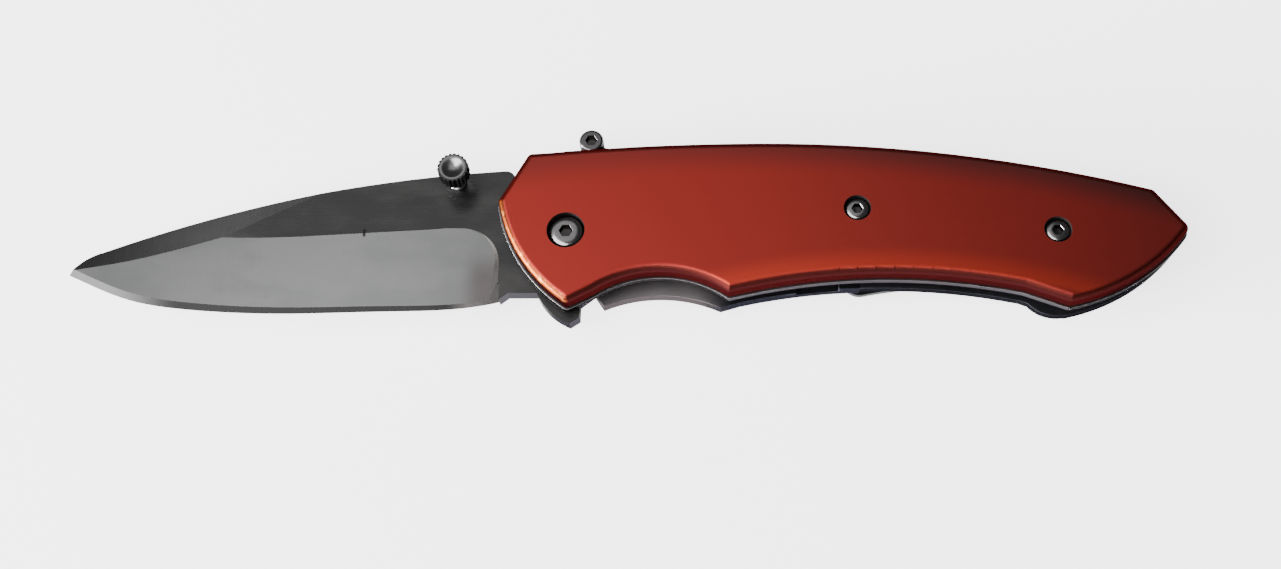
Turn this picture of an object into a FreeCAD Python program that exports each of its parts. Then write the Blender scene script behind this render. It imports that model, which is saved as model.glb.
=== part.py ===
"""Folding pocket knife, open: ground blade, red scale, steel liner and a far side plate with a lock leaf.

Millimetres. X runs along the knife, blade tip at -X. Y is the height in the plane of the blade, spine at
+Y and edge at -Y. Z is the pivot axis, with the red scale on top. The pieces are drawn about the pivot
axis, with the outer face of the far side plate at Z = 0, and moved to the middle of their box at the end.
"""
import FreeCAD, Part
import math
import os

V = FreeCAD.Vector
UP = V(0, 0, 1)
ORIGIN = V(0, 0, 0)

# Stack of layers along the pivot axis, from the far side up
plate_thickness = 2.0
washer_thickness = 0.25
blade_thickness = 2.5
liner_thickness = 1.0
scale_thickness = 3.0

# Clearances and cuts
running_clearance = 0.03
slide_clearance = 0.2
contact_clearance = 0.02
overrun = 2.0
snap = 0.001
full_turn = 360
hex_sides = 6

# Handle outline, measured from the pivot axis
handle_front = 11.5
handle_rear = 100.1
spine_height = 16.0
belly_depth = 12.6
corner_radius = 0.9
butt_radius = 1.2
scale_edge_radius = 1.3
liner_proud = 0.3
plate_edge_bevel = 0.5
heel_lobe_radius = 6.0
heel_lobe_back = 1.18

# Outline points as shares of the four sizes above, in order round the handle
nose_shares = (-1.0, 0.35)
brow_shares = (-0.59, 0.888)
crest_shares = (0.3135, 1.0)
tail_shares = (0.948, 0.455)
butt_shares = (1.0, 0.035)
butt_bow_shares = (0.9166, -0.595)
heel_shares = (0.804, -0.968)
waist_shares = (0.7333, -0.762)
belly_shares = (0.4945, -0.588)
finger_corner_shares = (0.2652, -0.842)
finger_top_shares = (0.1612, -0.56)
finger_start_shares = (0.0468, -0.82)
chin_shares = (0.004, -1.0)
cheek_shares = (-0.649, -0.37)

# Blade, measured from the pivot axis
blade_reach = 83.9
shoulder_height = 12.7
edge_depth = 12.6
tang_radius = 9.1
tang_start_degrees = 138
ricasso_depth = 9.4
choil_run = 1.5
grind_height = 13.4
grind_tilt_degrees = 1.8
grind_edge_land = 0.3
edge_bevel_height = 0.95
edge_land = 0.03
plunge_reach = 11.3
plunge_slope_run = 1.4
plunge_radius = 6.5
plunge_top = 2.2
swedge_land = 0.38
shoulder_radius = 1.3
shoulder_run = 1.89
shoulder_drop = 0.35
guard_bow_drop = 1.0
guard_depth = 14.7
guard_front = 4.75
guard_rear = 2.4
guard_toe = 0.8
guard_heel_rise = 1.1
guard_root = 11.2
detent_hole_radius = 0.8
detent_hole_depth = 0.6

# Blade outline points as shares of reach along X, and of shoulder height or edge depth along Y
tip_shares = (-1.0, -0.46)
tip_back_shares = (-0.973, -0.262)
spine_start_shares = (-0.934, -0.135)
spine_mid_shares = (-0.551, 0.618)
spine_end_shares = (-0.134, 1.0)
edge_past_tip_shares = (-1.036, -0.36)
edge_curve_shares = ((-0.873, -0.805), (-0.745, -0.947), (-0.563, -1.0), (-0.36, -0.968), (-0.2, -0.92))
edge_heel_shares = (-0.131, -0.835)
edge_past_heel_shares = (-0.08, -0.72)
swedge_low_shares = (-0.697, 0.04)
swedge_high_shares = (-0.491, 0.725)
swedge_far_shares = (-0.943, -0.165)

# Pivot, stop pin and their fasteners
pivot_radius = 2.5
washer_radius = 5.6
pivot_head_radius = 2.65
pivot_head_height = 1.5
pivot_recess_room = 0.45
pivot_recess_depth = 1.8
pivot_thread_radius = 1.5
pivot_flange_radius = 3.6
pivot_flange_height = 0.9
hex_share = 0.38
hex_depth_share = 0.6
dome_share = 0.55
crown_share = 0.5
bulge_share = 0.72
stop_pin_radius = 1.7
stop_pin_room = 0.4
stop_pin_degrees = 124.8
stop_pin_seat = 1.2

# Lock leaf and its detent
lock_front = 5.3
lock_root_share = 0.4795
lock_top_share = 0.389
lock_slot = 0.7
lock_root_gap = 0.06
lock_engagement = 1.0
lock_chin_share = 0.72
lock_nose_share = 0.882
lock_nose_set_back = 0.8
lock_arc_shares = (0.157, -0.722)
lock_corner_shares = (0.2515, -0.885)
lock_join_shares = (0.31, -0.74)
lock_relief_length = 7.0
lock_relief_depth = 0.9
front_cut_share = 0.683
detent_radius = 0.75
detent_shares = (0.0896, -0.508)
detent_proud = 0.4

# Thumb stud
stud_shares = (-0.2264, 0.831)
stud_shank_radius = 0.8
stud_foot_radius = 1.5
stud_waist_radius = 1.25
stud_head_radius = 2.6
stud_height = 6.0
stud_foot_height = 0.5
stud_head_start = 3.2
stud_dish_depth = 0.25
stud_edge_bevel = 0.28

# Screws of the scale, liner and spacer
small_head_radius = 1.95
small_head_height = 1.25
small_recess_room = 0.25
small_recess_depth = 1.5
small_thread_radius = 1.0
scale_screw_front_shares = (0.4726, 0.239)
scale_screw_rear_shares = (0.79, -0.005)
flat_head_radius = 1.6
flat_head_height = 0.8
flat_thread_radius = 0.8

# Spacer along the spine
spacer_inset = 0.4
spacer_band = 1.2
spacer_boss_radius = 1.6
spacer_boss_drop = 1.75
butt_block_share = 0.8637
liner_screw_share = 0.9453

# Safety slide on the spine
slide_travel = 3.5
slide_tail = 1.5
slide_end_gap = 0.8
slide_drop = 1.05
slide_height = 2.6
slide_swing_gap = 0.4
guide_pin_radius = 0.75
guide_land = 2.25
guide_pitch = 5.2
knob_x = 3.3
knob_rise = 2.0
knob_gap = 0.8
knob_radius = 2.05
knob_top = 5.7
knob_foot = 1.0
knob_shank_radius = 0.9
knob_edge_bevel = 0.4
ear_thickness = 1.4
ear_waist = 1.0

# Pocket clip on the far side
clip_thickness = 1.0
clip_root_share = 0.9441
clip_length = 49.3
clip_bend_share = 0.213
clip_raise_share = 0.335
clip_contact_share = 0.771
clip_height = 1.2
clip_stand_off = 2.4
clip_lip = 3.0
clip_arm_share = 0.62
clip_gap = 0.05
clip_root_width = 7.4
clip_tip_width = 5.6
clip_slant_degrees = 7.2
clip_end_land = 0.7
clip_screw_room = 0.4
clip_head_radius = 1.6
clip_head_height = 0.7

# Sizes that follow from others
lock_root = handle_rear * lock_root_share
lock_top = belly_depth * lock_top_share
front_cut_depth = belly_depth * front_cut_share
slide_roof = spine_height - slide_drop
slide_floor = slide_roof - slide_height
slide_middle = (slide_roof + slide_floor) / 2
slide_swing = math.hypot(guard_toe, guard_depth) + slide_swing_gap
slide_front = math.sqrt(max(slide_swing ** 2 - slide_middle ** 2, 0))
guide_front = slide_front + guide_land + slide_travel + guide_pin_radius
guide_rear = guide_front + guide_pitch
slide_rear = guide_rear + slide_tail
knob_height = max(spine_height + knob_rise, slide_swing + knob_gap + knob_radius)
clip_root = handle_rear * clip_root_share
clip_end = clip_root - clip_length
clip_screw_rear_run = clip_head_radius + clip_end_land
clip_screw_front_run = clip_screw_rear_run + 2 * clip_head_radius + clip_screw_room
pivot_recess_radius = pivot_head_radius + pivot_recess_room
small_recess_radius = small_head_radius + small_recess_room

# Levels of the layers
gap_floor = plate_thickness
blade_floor = gap_floor + washer_thickness + contact_clearance
blade_roof = blade_floor + blade_thickness
gap_roof = blade_roof + washer_thickness + contact_clearance
scale_floor = gap_roof + liner_thickness
scale_roof = scale_floor + scale_thickness
blade_middle = (blade_floor + blade_roof) / 2
flat_thread_roof = scale_floor / 2 - contact_clearance


def handle_point(shares):
    """Point of the handle from shares of its four outline sizes."""
    x_size = handle_rear if shares[0] > 0 else handle_front
    y_size = spine_height if shares[1] > 0 else belly_depth
    return V(shares[0] * x_size, shares[1] * y_size, 0)


def blade_point(shares):
    """Point of the blade from shares of its reach, shoulder height and edge depth."""
    y_size = shoulder_height if shares[1] > 0 else edge_depth
    return V(shares[0] * blade_reach, shares[1] * y_size, 0)


def turned_place(distance, degrees):
    """Point at a distance from the pivot axis, by its angle from +X."""
    turn = math.radians(degrees)
    return V(distance * math.cos(turn), distance * math.sin(turn), 0)


def line(start, end):
    return Part.LineSegment(start, end).toShape()


def arc(start, middle, end):
    return Part.Arc(start, middle, end).toShape()


def level_arc(crest, end):
    """Arc that is level at its crest and falls away to its end."""
    run = end.x - crest.x
    fall = crest.y - end.y
    radius = (run ** 2 + fall ** 2) / (2 * fall)
    middle = V(crest.x + run / 2, crest.y - radius + math.sqrt(radius ** 2 - (run / 2) ** 2), 0)
    return arc(crest, middle, end)


def polygon(points):
    """Closed wire of straight sides through the points."""
    return Part.makePolygon(list(points) + [points[0]])


def grown_face(face, distance):
    """The face grown outwards by a distance, or shrunk by a negative one to its largest part."""
    return Part.Face(max(face.OuterWire.makeOffset2D(distance).Wires, key=lambda wire: wire.Length))


def slab(face, floor, roof):
    """Solid of a flat face between two levels."""
    moved = face.copy()
    moved.translate(V(0, 0, floor))
    return moved.extrude(V(0, 0, roof - floor))


def rod(place, radius, floor, roof):
    """Cylinder along Z between two levels."""
    return Part.makeCylinder(radius, roof - floor, V(place.x, place.y, floor), UP)


def box_between(low, high):
    """Box between two opposite corners."""
    size = high - low
    return Part.makeBox(size.x, size.y, size.z, low)


def hexagon_rod(place, radius, floor, roof):
    """Hexagonal prism along Z, used as a socket."""
    turns = [math.radians(full_turn * step / hex_sides) for step in range(hex_sides)]
    points = [V(place.x + radius * math.cos(turn), place.y + radius * math.sin(turn), 0) for turn in turns]
    return slab(Part.Face(polygon(points)), floor, roof)


def turned(profile, place):
    """Solid of revolution about Z from (radius, level) pairs, placed on an axis."""
    points = [V(radius, 0, level) for radius, level in profile]
    solid = Part.Face(polygon(points)).revolve(ORIGIN, UP, full_turn)
    solid.translate(V(place.x, place.y, 0))
    return solid


def edges_at(solid, level):
    """Edges of a solid that lie in one level."""
    return [e for e in solid.Edges if abs(e.BoundBox.ZMin - level) + abs(e.BoundBox.ZMax - level) < snap]


def sharp_handle_wire():
    """Handle outline with sharp corners."""
    names = (nose_shares, brow_shares, crest_shares, tail_shares, butt_shares, butt_bow_shares, heel_shares,
             waist_shares, belly_shares, finger_corner_shares, finger_top_shares, finger_start_shares,
             chin_shares, cheek_shares)
    (nose, brow, crest, tail, butt, butt_bow, heel, waist, belly, finger_corner, finger_top, finger_start,
     chin, cheek) = [handle_point(shares) for shares in names]
    return Part.Wire([line(nose, brow), level_arc(crest, brow), level_arc(crest, tail), line(tail, butt),
                      arc(butt, butt_bow, heel), line(heel, waist), arc(waist, belly, finger_corner),
                      arc(finger_corner, finger_top, finger_start), line(finger_start, chin),
                      arc(chin, cheek, nose)])


def closed_stop_run(start):
    """Run of the lock face from its start, touching the stop pin where it lies when the blade is closed."""
    to_pin = -STOP - start
    reach = stop_pin_radius + contact_clearance
    heading = math.atan2(to_pin.y, to_pin.x) - math.asin(reach / to_pin.Length)
    length = math.sqrt(to_pin.Length ** 2 - reach ** 2) + stop_pin_radius / 4
    return V(length * math.cos(heading), length * math.sin(heading), 0)


def lock_face_point(level):
    """Point of the lock leaf's front face at a level along Y, beside the face of the tang."""
    share = (level - LOCK_START.y) / LOCK_RUN.y
    return V(LOCK_START.x + LOCK_RUN.x * share + contact_clearance, level, 0)


def clip_place(run):
    """Point on the slanted middle line of the clip, at a run from its root end."""
    slant = math.radians(clip_slant_degrees)
    return V(clip_root - run * math.cos(slant), clip_height - run * math.sin(slant), 0)


def uprights_near(solid, places):
    """Upright edges of a solid that stand on any of the places."""
    found = []
    for edge in solid.Edges:
        foot = V(edge.BoundBox.Center.x, edge.BoundBox.Center.y, 0)
        upright = edge.BoundBox.XLength + edge.BoundBox.YLength < snap
        if upright and min(foot.distanceToPoint(place) for place in places) < snap:
            found.append(edge)
    return found


def rounded_handle_face():
    """Handle outline with rounded corners, as a flat face at level zero."""
    blank = Part.Face(sharp_handle_wire()).extrude(V(0, 0, overrun))
    butt = handle_point(butt_shares)
    rounded_names = (nose_shares, brow_shares, tail_shares, heel_shares, chin_shares)
    rounded = [handle_point(shares) for shares in rounded_names]
    solid = blank.makeFillet(corner_radius, uprights_near(blank, rounded))
    solid = solid.makeFillet(butt_radius, uprights_near(solid, [butt]))
    floors = [f for f in solid.Faces if f.BoundBox.ZMax < contact_clearance]
    return Part.Face(floors[0].OuterWire)


HANDLE_FACE = rounded_handle_face()
PIVOT = ORIGIN
STOP = turned_place(tang_radius + stop_pin_radius + stop_pin_room, stop_pin_degrees)
LOCK_START = V(lock_front - contact_clearance, lock_slot - lock_top, 0)
LOCK_RUN = closed_stop_run(LOCK_START)
SCALE_SCREWS = [handle_point(shares) for shares in (scale_screw_front_shares, scale_screw_rear_shares)]
SPACER_BOSS = V(slide_rear + slide_travel + slide_end_gap + spacer_boss_radius,
                spine_height - spacer_boss_drop, 0)
LINER_SCREWS = [SPACER_BOSS, V(handle_rear * liner_screw_share, clip_height, 0)]
STUD = blade_point(stud_shares)
DETENT = handle_point(detent_shares)
KNOB = V(knob_x, knob_height, 0)
EAR_FLOOR = blade_middle - ear_thickness / 2
EAR_ROOF = blade_middle + ear_thickness / 2
GUIDES = [V(x, slide_middle, 0) for x in (guide_front, guide_rear)]
CLIP_SCREWS = [clip_place(run) for run in (clip_screw_front_run, clip_screw_rear_run)]


def hollow(place, outer, inner, floor, roof):
    """Tube along Z between two levels."""
    return rod(place, outer, floor, roof).cut(rod(place, inner, floor - overrun, roof + overrun))


def button_screw(place, head_radius, head_height, seat, thread_radius, foot):
    """Socket screw with a head of two slopes above the seat, and a thread down to the foot."""
    rim = seat + head_height * (1 - dome_share)
    crown = seat + head_height
    flat = head_radius * crown_share
    bend = (flat + (head_radius - flat) * bulge_share, rim + (crown - rim) * bulge_share)
    bottom = crown - head_height * hex_depth_share
    profile = [(0, seat), (head_radius, seat), (head_radius, rim), bend, (flat, crown), (0, crown)]
    socket = hexagon_rod(place, head_radius * hex_share, bottom, crown + overrun)
    return turned(profile, place).fuse(rod(place, thread_radius, foot, bottom)).cut(socket)


def flat_screw_form(place, extra):
    """Countersunk head and thread from the level of the far face, or with extra room the hole for them."""
    foot = V(place.x, place.y, 0)
    cone = Part.makeCone(flat_head_radius + extra, flat_thread_radius + extra, flat_head_height, foot, UP)
    return cone.fuse(rod(place, flat_thread_radius + extra, 0, flat_thread_roof + extra))


def flat_screw(place):
    """Countersunk socket screw, flush with the far face of the plate."""
    socket = hexagon_rod(place, flat_head_radius * hex_share, -overrun, flat_head_height * hex_depth_share)
    return flat_screw_form(place, 0).cut(socket)


def far_hole(place):
    """Hole for a countersunk screw from the far side."""
    return flat_screw_form(place, contact_clearance)


def near_hole(place):
    """Hole for a countersunk screw from the near side of the liner."""
    return far_hole(place).mirror(V(0, 0, scale_floor / 2), UP)


def clip_hole(place):
    """Hole for a clip screw through the clip and the plate into the spacer."""
    return rod(place, flat_thread_radius + contact_clearance, -clip_thickness - overrun,
               flat_thread_roof + contact_clearance)


def front_scale():
    """Red scale: rounded outer edge, recesses and holes for its three screws."""
    blank = slab(HANDLE_FACE, scale_floor, scale_roof)
    solid = blank.makeFillet(scale_edge_radius, edges_at(blank, scale_roof))
    holes = [rod(PIVOT, pivot_recess_radius, scale_roof - pivot_recess_depth, scale_roof + overrun),
             rod(PIVOT, pivot_thread_radius + contact_clearance, scale_floor - overrun, scale_roof)]
    for place in SCALE_SCREWS:
        holes.append(rod(place, small_recess_radius, scale_roof - small_recess_depth, scale_roof + overrun))
        holes.append(rod(place, small_thread_radius + contact_clearance, scale_floor - overrun, scale_roof))
    return solid.cut(holes)


def front_liner():
    """Thin liner that stands a little proud of the scale all round."""
    solid = slab(grown_face(HANDLE_FACE, liner_proud), gap_roof, scale_floor)
    bores = [(PIVOT, pivot_radius), (STOP, stop_pin_radius)]
    bores += [(place, small_thread_radius) for place in SCALE_SCREWS]
    bores += [(place, guide_pin_radius) for place in GUIDES]
    holes = [rod(place, radius + contact_clearance, gap_roof - overrun, scale_floor + overrun)
             for place, radius in bores]
    return solid.cut(holes + [near_hole(place) for place in LINER_SCREWS])


def lock_window():
    """Room for the lock leaf in the plate, with its slot, and the cut in front of its nose."""
    low = -belly_depth - overrun
    leaf = box_between(V(LOCK_START.x + LOCK_RUN.x - lock_slot, low, -overrun),
                       V(lock_root, lock_slot - lock_top, plate_thickness + overrun))
    front = box_between(V(-handle_front, low, -overrun),
                        V(lock_front, -front_cut_depth, plate_thickness + overrun))
    return leaf.fuse(front)


def slot_end():
    """Round hole at the root end of the slot above the lock leaf."""
    place = V(lock_root, (lock_slot / 2) - lock_top, 0)
    return rod(place, lock_slot, -overrun, plate_thickness + overrun)


def frame_plate():
    """Far side plate: bevelled outer edge, round heel, lock window and seats for pins and screws."""
    heel = handle_point(heel_shares) + V(-heel_lobe_back, heel_lobe_radius, 0)
    lobe = rod(heel, heel_lobe_radius, 0, plate_thickness)
    blank = slab(HANDLE_FACE, 0, plate_thickness).fuse(lobe).removeSplitter()
    solid = blank.makeChamfer(plate_edge_bevel, edges_at(blank, 0))
    cuts = [lock_window(), slot_end(),
            rod(PIVOT, pivot_flange_radius + contact_clearance, -overrun, pivot_flange_height),
            rod(PIVOT, pivot_radius + contact_clearance, -overrun, plate_thickness + overrun)]
    for place, radius in [(STOP, stop_pin_radius)] + [(place, guide_pin_radius) for place in GUIDES]:
        cuts.append(rod(place, radius + contact_clearance, gap_floor - stop_pin_seat, gap_floor + overrun))
    cuts.append(far_hole(SPACER_BOSS))
    return solid.cut(cuts + [clip_hole(place) for place in CLIP_SCREWS])


def lock_outline():
    """Flat face of the front of the lock leaf: face against the tang, nose, finger arc and corner."""
    nose = V(lock_front + lock_nose_set_back, -belly_depth * lock_nose_share, 0)
    chin = lock_face_point(-belly_depth * lock_chin_share)
    top_front = lock_face_point(-lock_top)
    corner = handle_point(lock_corner_shares)
    join = handle_point(lock_join_shares)
    top_rear = V(join.x, -lock_top, 0)
    return Part.Face(Part.Wire([line(top_front, chin), line(chin, nose),
                                arc(nose, handle_point(lock_arc_shares), corner), line(corner, join),
                                line(join, top_rear), line(top_rear, top_front)]))


def engaged(solid):
    """The lock leaf sprung in behind the tang, turned about its root."""
    turn = math.degrees(math.asin(lock_engagement / (lock_root - lock_front)))
    solid.rotate(V(lock_root, 0, plate_thickness / 2), V(0, 1, 0), turn)
    return solid


def lock_bar():
    """Lock leaf with a milled relief near its root."""
    front = handle_point(finger_corner_shares).x - corner_radius
    reach = box_between(V(front, -belly_depth, -overrun),
                        V(lock_root - lock_root_gap, -lock_top, plate_thickness + overrun))
    rear = slab(HANDLE_FACE, 0, plate_thickness).common(reach)
    solid = slab(lock_outline(), 0, plate_thickness).fuse(rear).removeSplitter()
    relief_end = lock_root - lock_relief_length / 2
    relief_floor = plate_thickness - lock_relief_depth
    relief = box_between(V(relief_end - lock_relief_length, -belly_depth, relief_floor),
                         V(relief_end, 0, plate_thickness + overrun))
    seat = rod(DETENT, detent_radius + contact_clearance,
               plate_thickness + detent_proud - 2 * detent_radius, plate_thickness + overrun)
    return engaged(solid.cut([relief, slot_end(), seat]))


def detent_ball():
    """Ball pressed into the lock leaf."""
    middle = DETENT + UP * (plate_thickness + detent_proud - detent_radius)
    return engaged(Part.makeSphere(detent_radius, middle))


def edge_curve():
    """Cutting edge as one curve, run on past the tip and the heel."""
    front = (edge_past_tip_shares, tip_shares)
    shares = front + edge_curve_shares + (edge_heel_shares, edge_past_heel_shares)
    curve = Part.BSplineCurve()
    curve.interpolate([blade_point(pair) for pair in shares])
    return curve


def blade_wire():
    """Outline of the blade blank: spine, shoulder, tang, guard, ricasso and cutting edge."""
    tip = blade_point(tip_shares)
    heel = blade_point(edge_heel_shares)
    curve = edge_curve()
    edge = curve.toShape(curve.parameter(tip), curve.parameter(heel))
    spine_start = blade_point(spine_start_shares)
    spine_end = blade_point(spine_end_shares)
    stop_face = STOP.x - stop_pin_radius - contact_clearance
    shoulder_turn = V(spine_end.x + shoulder_radius, shoulder_height - shoulder_drop, 0)
    shoulder_low = V(spine_end.x + shoulder_run, STOP.y + stop_pin_radius, 0)
    stop_top = V(stop_face, STOP.y + stop_pin_radius / 2, 0)
    stop_foot = V(stop_face, STOP.y - stop_pin_radius / 2, 0)
    tang_front = turned_place(tang_radius, tang_start_degrees)
    tang_rear = V(math.sqrt(tang_radius ** 2 - LOCK_START.y ** 2), LOCK_START.y, 0)
    tang_top = turned_place(tang_radius, tang_start_degrees / 3)
    lock_end = LOCK_START + LOCK_RUN
    guard_top = V(guard_rear, -guard_root, 0)
    guard_heel = V(guard_rear, guard_heel_rise - guard_depth, 0)
    toe = V(guard_toe, -guard_depth, 0)
    guard_bow = V((guard_toe - guard_front) / 2, -(guard_depth + ricasso_depth) / 2 - guard_bow_drop, 0)
    guard_start = V(-guard_front, -ricasso_depth, 0)
    choil = V(heel.x + choil_run, -ricasso_depth, 0)
    return Part.Wire([arc(tip, blade_point(tip_back_shares), spine_start),
                      arc(spine_start, blade_point(spine_mid_shares), spine_end),
                      arc(spine_end, shoulder_turn, shoulder_low), line(shoulder_low, stop_top),
                      line(stop_top, stop_foot), line(stop_foot, tang_front),
                      arc(tang_front, tang_top, tang_rear), line(tang_rear, LOCK_START),
                      line(LOCK_START, lock_end), line(lock_end, guard_top), line(guard_top, guard_heel),
                      line(guard_heel, toe), arc(toe, guard_bow, guard_start), line(guard_start, choil),
                      line(choil, heel), edge])


def swept_cutter(rise, low_half, high_half, run):
    """Material above a ground face that leans from one half thickness at the edge to another higher up."""
    slope = (high_half - low_half) / rise
    edge = edge_curve().toShape()
    edge.translate(V(0, -overrun, low_half - slope * overrun))
    face = edge.extrude(V(0, run + overrun, slope * (run + overrun)))
    return face.extrude(V(0, 0, blade_thickness))


def plunge_region(reach, level):
    """Plan of the main grind at one level: open to the tip, rounded at the plunge."""
    left = -blade_reach - overrun
    low = -edge_depth - overrun
    turn = V(-reach - plunge_radius * (1 - math.sin(math.pi / 4)),
             plunge_top - plunge_radius * (1 - math.sin(math.pi / 4)), level)
    points = [V(left, plunge_top, level), V(-reach - plunge_radius, plunge_top, level),
              V(-reach, plunge_top - plunge_radius, level), V(-reach, low, level), V(left, low, level)]
    return Part.Wire([line(points[0], points[1]), arc(points[1], turn, points[2]),
                      line(points[2], points[3]), line(points[3], points[4]), line(points[4], points[0])])


def main_grind():
    """Cutter of the main grind on the near side, about the middle plane of the blade."""
    half = blade_thickness / 2
    face = swept_cutter(grind_height, grind_edge_land, half, grind_height + overrun)
    face.rotate(V(-blade_reach / 2, -edge_depth, 0), UP, grind_tilt_degrees)
    run = plunge_slope_run / (half - grind_edge_land)
    regions = [plunge_region(plunge_reach + run * (half + overrun), -overrun),
               plunge_region(plunge_reach - run * overrun, half + overrun)]
    return face.common(Part.makeLoft(regions, True, True))


def edge_bevel():
    """Cutter of the sharpened bevel on the near side, from the tip to the heel."""
    rise = edge_bevel_height
    top_half = grind_edge_land + (blade_thickness / 2 - grind_edge_land) * rise / grind_height
    heel = blade_point(edge_heel_shares)
    reach = box_between(V(-blade_reach - overrun, -edge_depth - overrun, -overrun),
                        V(heel.x, shoulder_height, blade_thickness + overrun))
    return swept_cutter(rise, edge_land, top_half, rise + overrun).common(reach)


def swedge():
    """Cutter of the false edge on the near side: a flat that falls from a line on the flank to the spine."""
    half = blade_thickness / 2
    low = blade_point(swedge_low_shares)
    high = blade_point(swedge_high_shares)
    far = blade_point(swedge_far_shares)
    along = (high - low).normalize()
    across = V(-along.y, along.x, 0)
    drop = (half - swedge_land) / (far - low).dot(across)
    run = shoulder_height
    start = low - along * blade_reach - across * overrun + V(0, 0, half + drop * overrun)
    side = along * (2 * blade_reach)
    fall = across * (run + overrun) - V(0, 0, drop * (run + overrun))
    face = Part.Face(polygon([start, start + side, start + side + fall, start + fall]))
    return face.extrude(V(0, 0, blade_thickness + overrun))


def blade():
    """Ground blade with its tang, bored for the pivot and the stud."""
    half = blade_thickness / 2
    solid = slab(Part.Face(blade_wire()), -half, half)
    for cutter in (main_grind(), swedge(), edge_bevel()):
        solid = solid.cut(cutter)
        solid = solid.cut(cutter.mirror(ORIGIN, UP))
    solid = solid.cut([rod(PIVOT, pivot_radius + running_clearance, -blade_thickness, blade_thickness),
                       rod(STUD, stud_shank_radius + contact_clearance, -blade_thickness, blade_thickness),
                       rod(-DETENT, detent_hole_radius, -blade_thickness, detent_hole_depth - half)])
    solid.translate(V(0, 0, blade_middle))
    return solid


def thumb_stud():
    """Turned stud riveted through the blade, with a bevelled head and a dished face."""
    foot = blade_roof + contact_clearance
    rim = foot + stud_height
    head = foot + stud_head_start
    neck = stud_head_radius - stud_edge_bevel
    profile = [(0, blade_floor), (stud_shank_radius, blade_floor), (stud_shank_radius, foot),
               (stud_foot_radius, foot), (stud_foot_radius, foot + stud_foot_height),
               (stud_waist_radius, foot + stud_foot_height), (stud_waist_radius, head - stud_edge_bevel),
               (neck, head - stud_edge_bevel), (stud_head_radius, head),
               (stud_head_radius, rim - stud_edge_bevel), (neck, rim), (neck - stud_edge_bevel, rim),
               (stud_waist_radius, rim - stud_dish_depth), (0, rim - stud_dish_depth)]
    return turned(profile, STUD)


def pivot_barrel():
    """Female half of the pivot: flush socket head on the far side, threaded towards the scale."""
    flange = rod(PIVOT, pivot_flange_radius, 0, pivot_flange_height)
    solid = flange.fuse(rod(PIVOT, pivot_radius, 0, scale_floor))
    socket = hexagon_rod(PIVOT, pivot_head_radius * hex_share, -overrun, pivot_flange_height)
    thread = rod(PIVOT, pivot_thread_radius + contact_clearance, plate_thickness, scale_floor + overrun)
    return solid.cut([socket, thread])


def spine_spacer():
    """Spacer in the gap: a band along the spine with a boss at its front end, and a block at the butt."""
    outer = slab(grown_face(HANDLE_FACE, -spacer_inset), gap_floor, gap_roof)
    hollow = grown_face(HANDLE_FACE, -spacer_inset - spacer_band)
    inner = slab(hollow, gap_floor - overrun, gap_roof + overrun)
    top = V(handle_rear, spine_height, gap_roof + overrun)
    reach = box_between(V(SPACER_BOSS.x, 0, gap_floor - overrun), top)
    butt = box_between(V(handle_rear * butt_block_share, -belly_depth, gap_floor - overrun), top)
    boss = rod(SPACER_BOSS, spacer_boss_radius, gap_floor, gap_roof)
    solid = outer.cut(inner).common(reach).fuse([outer.common(butt), outer.common(boss)]).removeSplitter()
    holes = [far_hole(SPACER_BOSS)] + [clip_hole(place) for place in CLIP_SCREWS]
    return solid.cut(holes + [near_hole(place) for place in LINER_SCREWS])


def safety_slide():
    """Slide in the gap under the spine: slotted body, nose clear of the guard's swing, ear for the knob."""
    floor = gap_floor + slide_clearance
    roof = gap_roof - slide_clearance
    body = box_between(V(0, slide_floor, floor), V(slide_rear, slide_roof, roof))
    along = (V(GUIDES[0].x, slide_roof, 0) - KNOB).normalize()
    side = V(-along.y, along.x, 0) * ear_waist
    anchor = V(GUIDES[0].x, slide_roof - ear_waist, 0)
    plan = Part.Face(polygon([KNOB, KNOB - side * 2, anchor - side, anchor + side]))
    arm = slab(plan, EAR_FLOOR, EAR_ROOF)
    eye = rod(KNOB, knob_radius - contact_clearance, EAR_FLOOR, EAR_ROOF)
    swing = rod(PIVOT, slide_swing, -overrun, scale_roof)
    cuts = [swing, rod(KNOB, knob_shank_radius + contact_clearance, -overrun, scale_roof)]
    width = guide_pin_radius + running_clearance
    for place in GUIDES:
        start = place - V(slide_travel, 0, 0)
        cuts.append(rod(place, width, -overrun, scale_roof))
        cuts.append(rod(start, width, -overrun, scale_roof))
        cuts.append(box_between(start - V(0, width, overrun), place + V(0, width, scale_roof)))
    return body.fuse([arm, eye]).cut(cuts).removeSplitter()


def safety_knob():
    """Socket screw whose round head is the knob."""
    head = rod(KNOB, knob_radius, EAR_ROOF, knob_top)
    head = head.makeChamfer(knob_edge_bevel, edges_at(head, knob_top))
    socket = hexagon_rod(KNOB, knob_radius * hex_share, knob_top - (knob_top - EAR_ROOF) * hex_depth_share,
                         knob_top + overrun)
    return head.fuse(rod(KNOB, knob_shank_radius, knob_foot, EAR_ROOF)).cut(socket)


def safety_nut():
    """Round nut behind the ear."""
    return hollow(KNOB, knob_radius, knob_shank_radius + contact_clearance, knob_foot, EAR_FLOOR)


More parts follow.
